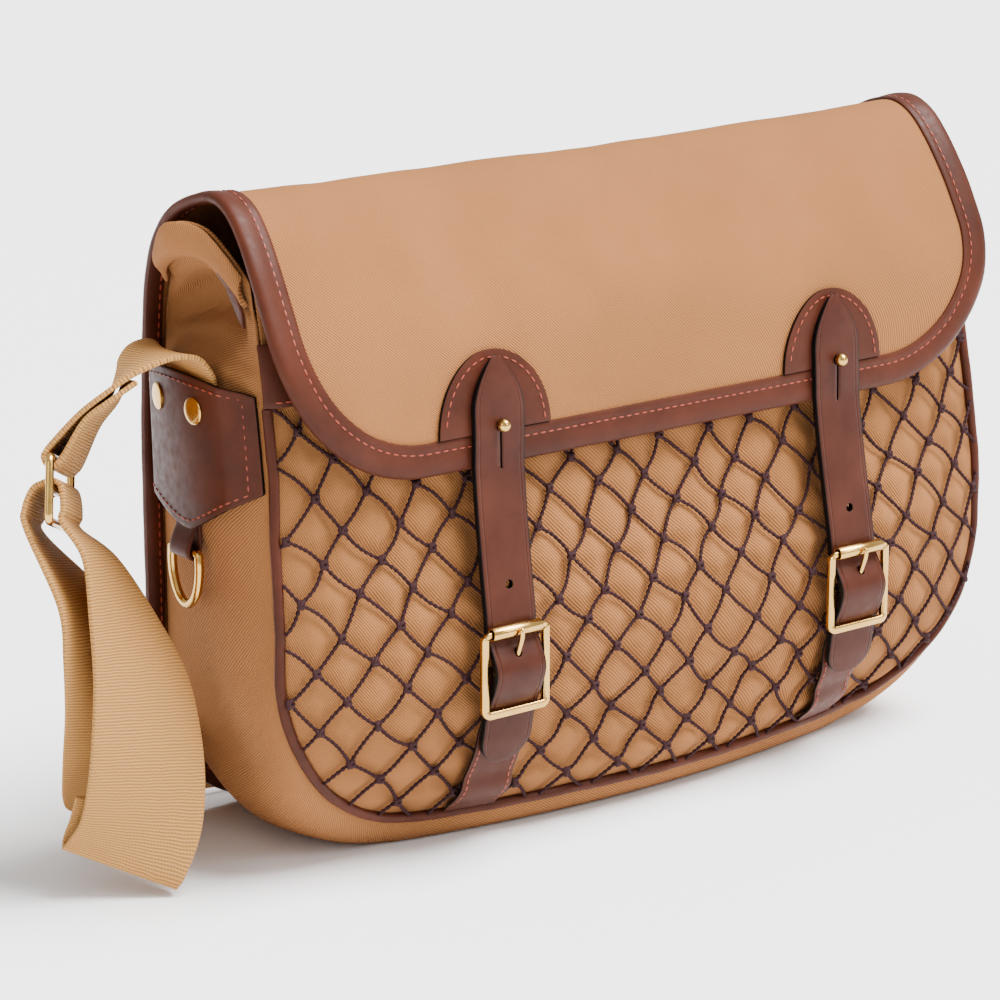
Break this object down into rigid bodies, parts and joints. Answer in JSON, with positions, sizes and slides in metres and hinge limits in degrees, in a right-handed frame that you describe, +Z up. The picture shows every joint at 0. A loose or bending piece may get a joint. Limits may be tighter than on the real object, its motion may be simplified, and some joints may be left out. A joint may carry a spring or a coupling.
{
  "type": "hunting game bag",
  "caption": "Canvas shoulder bag with a wrap-over flap, net front pocket, leather trim, two strap-and-buckle fastenings and a webbing sling.",
  "frame": {"origin": "middle of the bag's flat underside, on the surface it stands on", "axes": "+X towards the bag's right end seen from the front, +Y towards its back, +Z up"},
  "size_m": [0.5015, 0.1642, 0.2815],
  "materials": {
    "tan_canvas": "cotton twill",
    "brown_leather": "waxed bridle leather",
    "net_twine": "twisted knotted twine",
    "cotton_webbing": "ribbed webbing",
    "brass": "polished"
  },
  "bodies": {
    "bag": {"front_panel": "tan_canvas", "gusset": "tan_canvas", "back_and_flap": "tan_canvas", "binding": "brown_leather", "front_piping": "brown_leather", "net_band": "brown_leather", "mouth_tab_left": "brown_leather", "mouth_tab_right": "brown_leather", "side_patch_left": "brown_leather", "side_patch_right": "brown_leather", "ring_tab_left": "brown_leather", "ring_tab_right": "brown_leather", "stud_patch_left": "brown_leather", "stud_patch_right": "brown_leather", "front_strap_left": "brown_leather", "front_strap_right": "brown_leather", "chape_left": "brown_leather", "chape_right": "brown_leather", "net_pocket": "net_twine", "strap_anchor": "cotton_webbing", "shoulder_strap": "cotton_webbing", "patch_rivet_front_left": "brass", "patch_rivet_front_right": "brass", "patch_rivet_back_left": "brass", "patch_rivet_back_right": "brass", "stud_left": "brass", "stud_right": "brass", "buckle_left": "brass", "buckle_right": "brass", "buckle_roller_left": "brass", "buckle_roller_right": "brass", "buckle_prong_left": "brass", "buckle_prong_right": "brass", "slider": "brass"},
    "left_ring": {"side_ring_left": "brass"},
    "right_ring": {"side_ring_right": "brass"}
  },
  "joints": [
    {"name": "side_ring_left_swing", "type": "hinge", "parent": "bag", "child": "left_ring", "pos_m": [-0.1986, 0.0185, 0.134], "axis": [0, 1, 0], "range_deg": [0, 130]},
    {"name": "side_ring_right_swing", "type": "hinge", "parent": "bag", "child": "right_ring", "pos_m": [0.1986, 0.0185, 0.134], "axis": [0, -1, 0], "range_deg": [0, 130]}
  ]
}
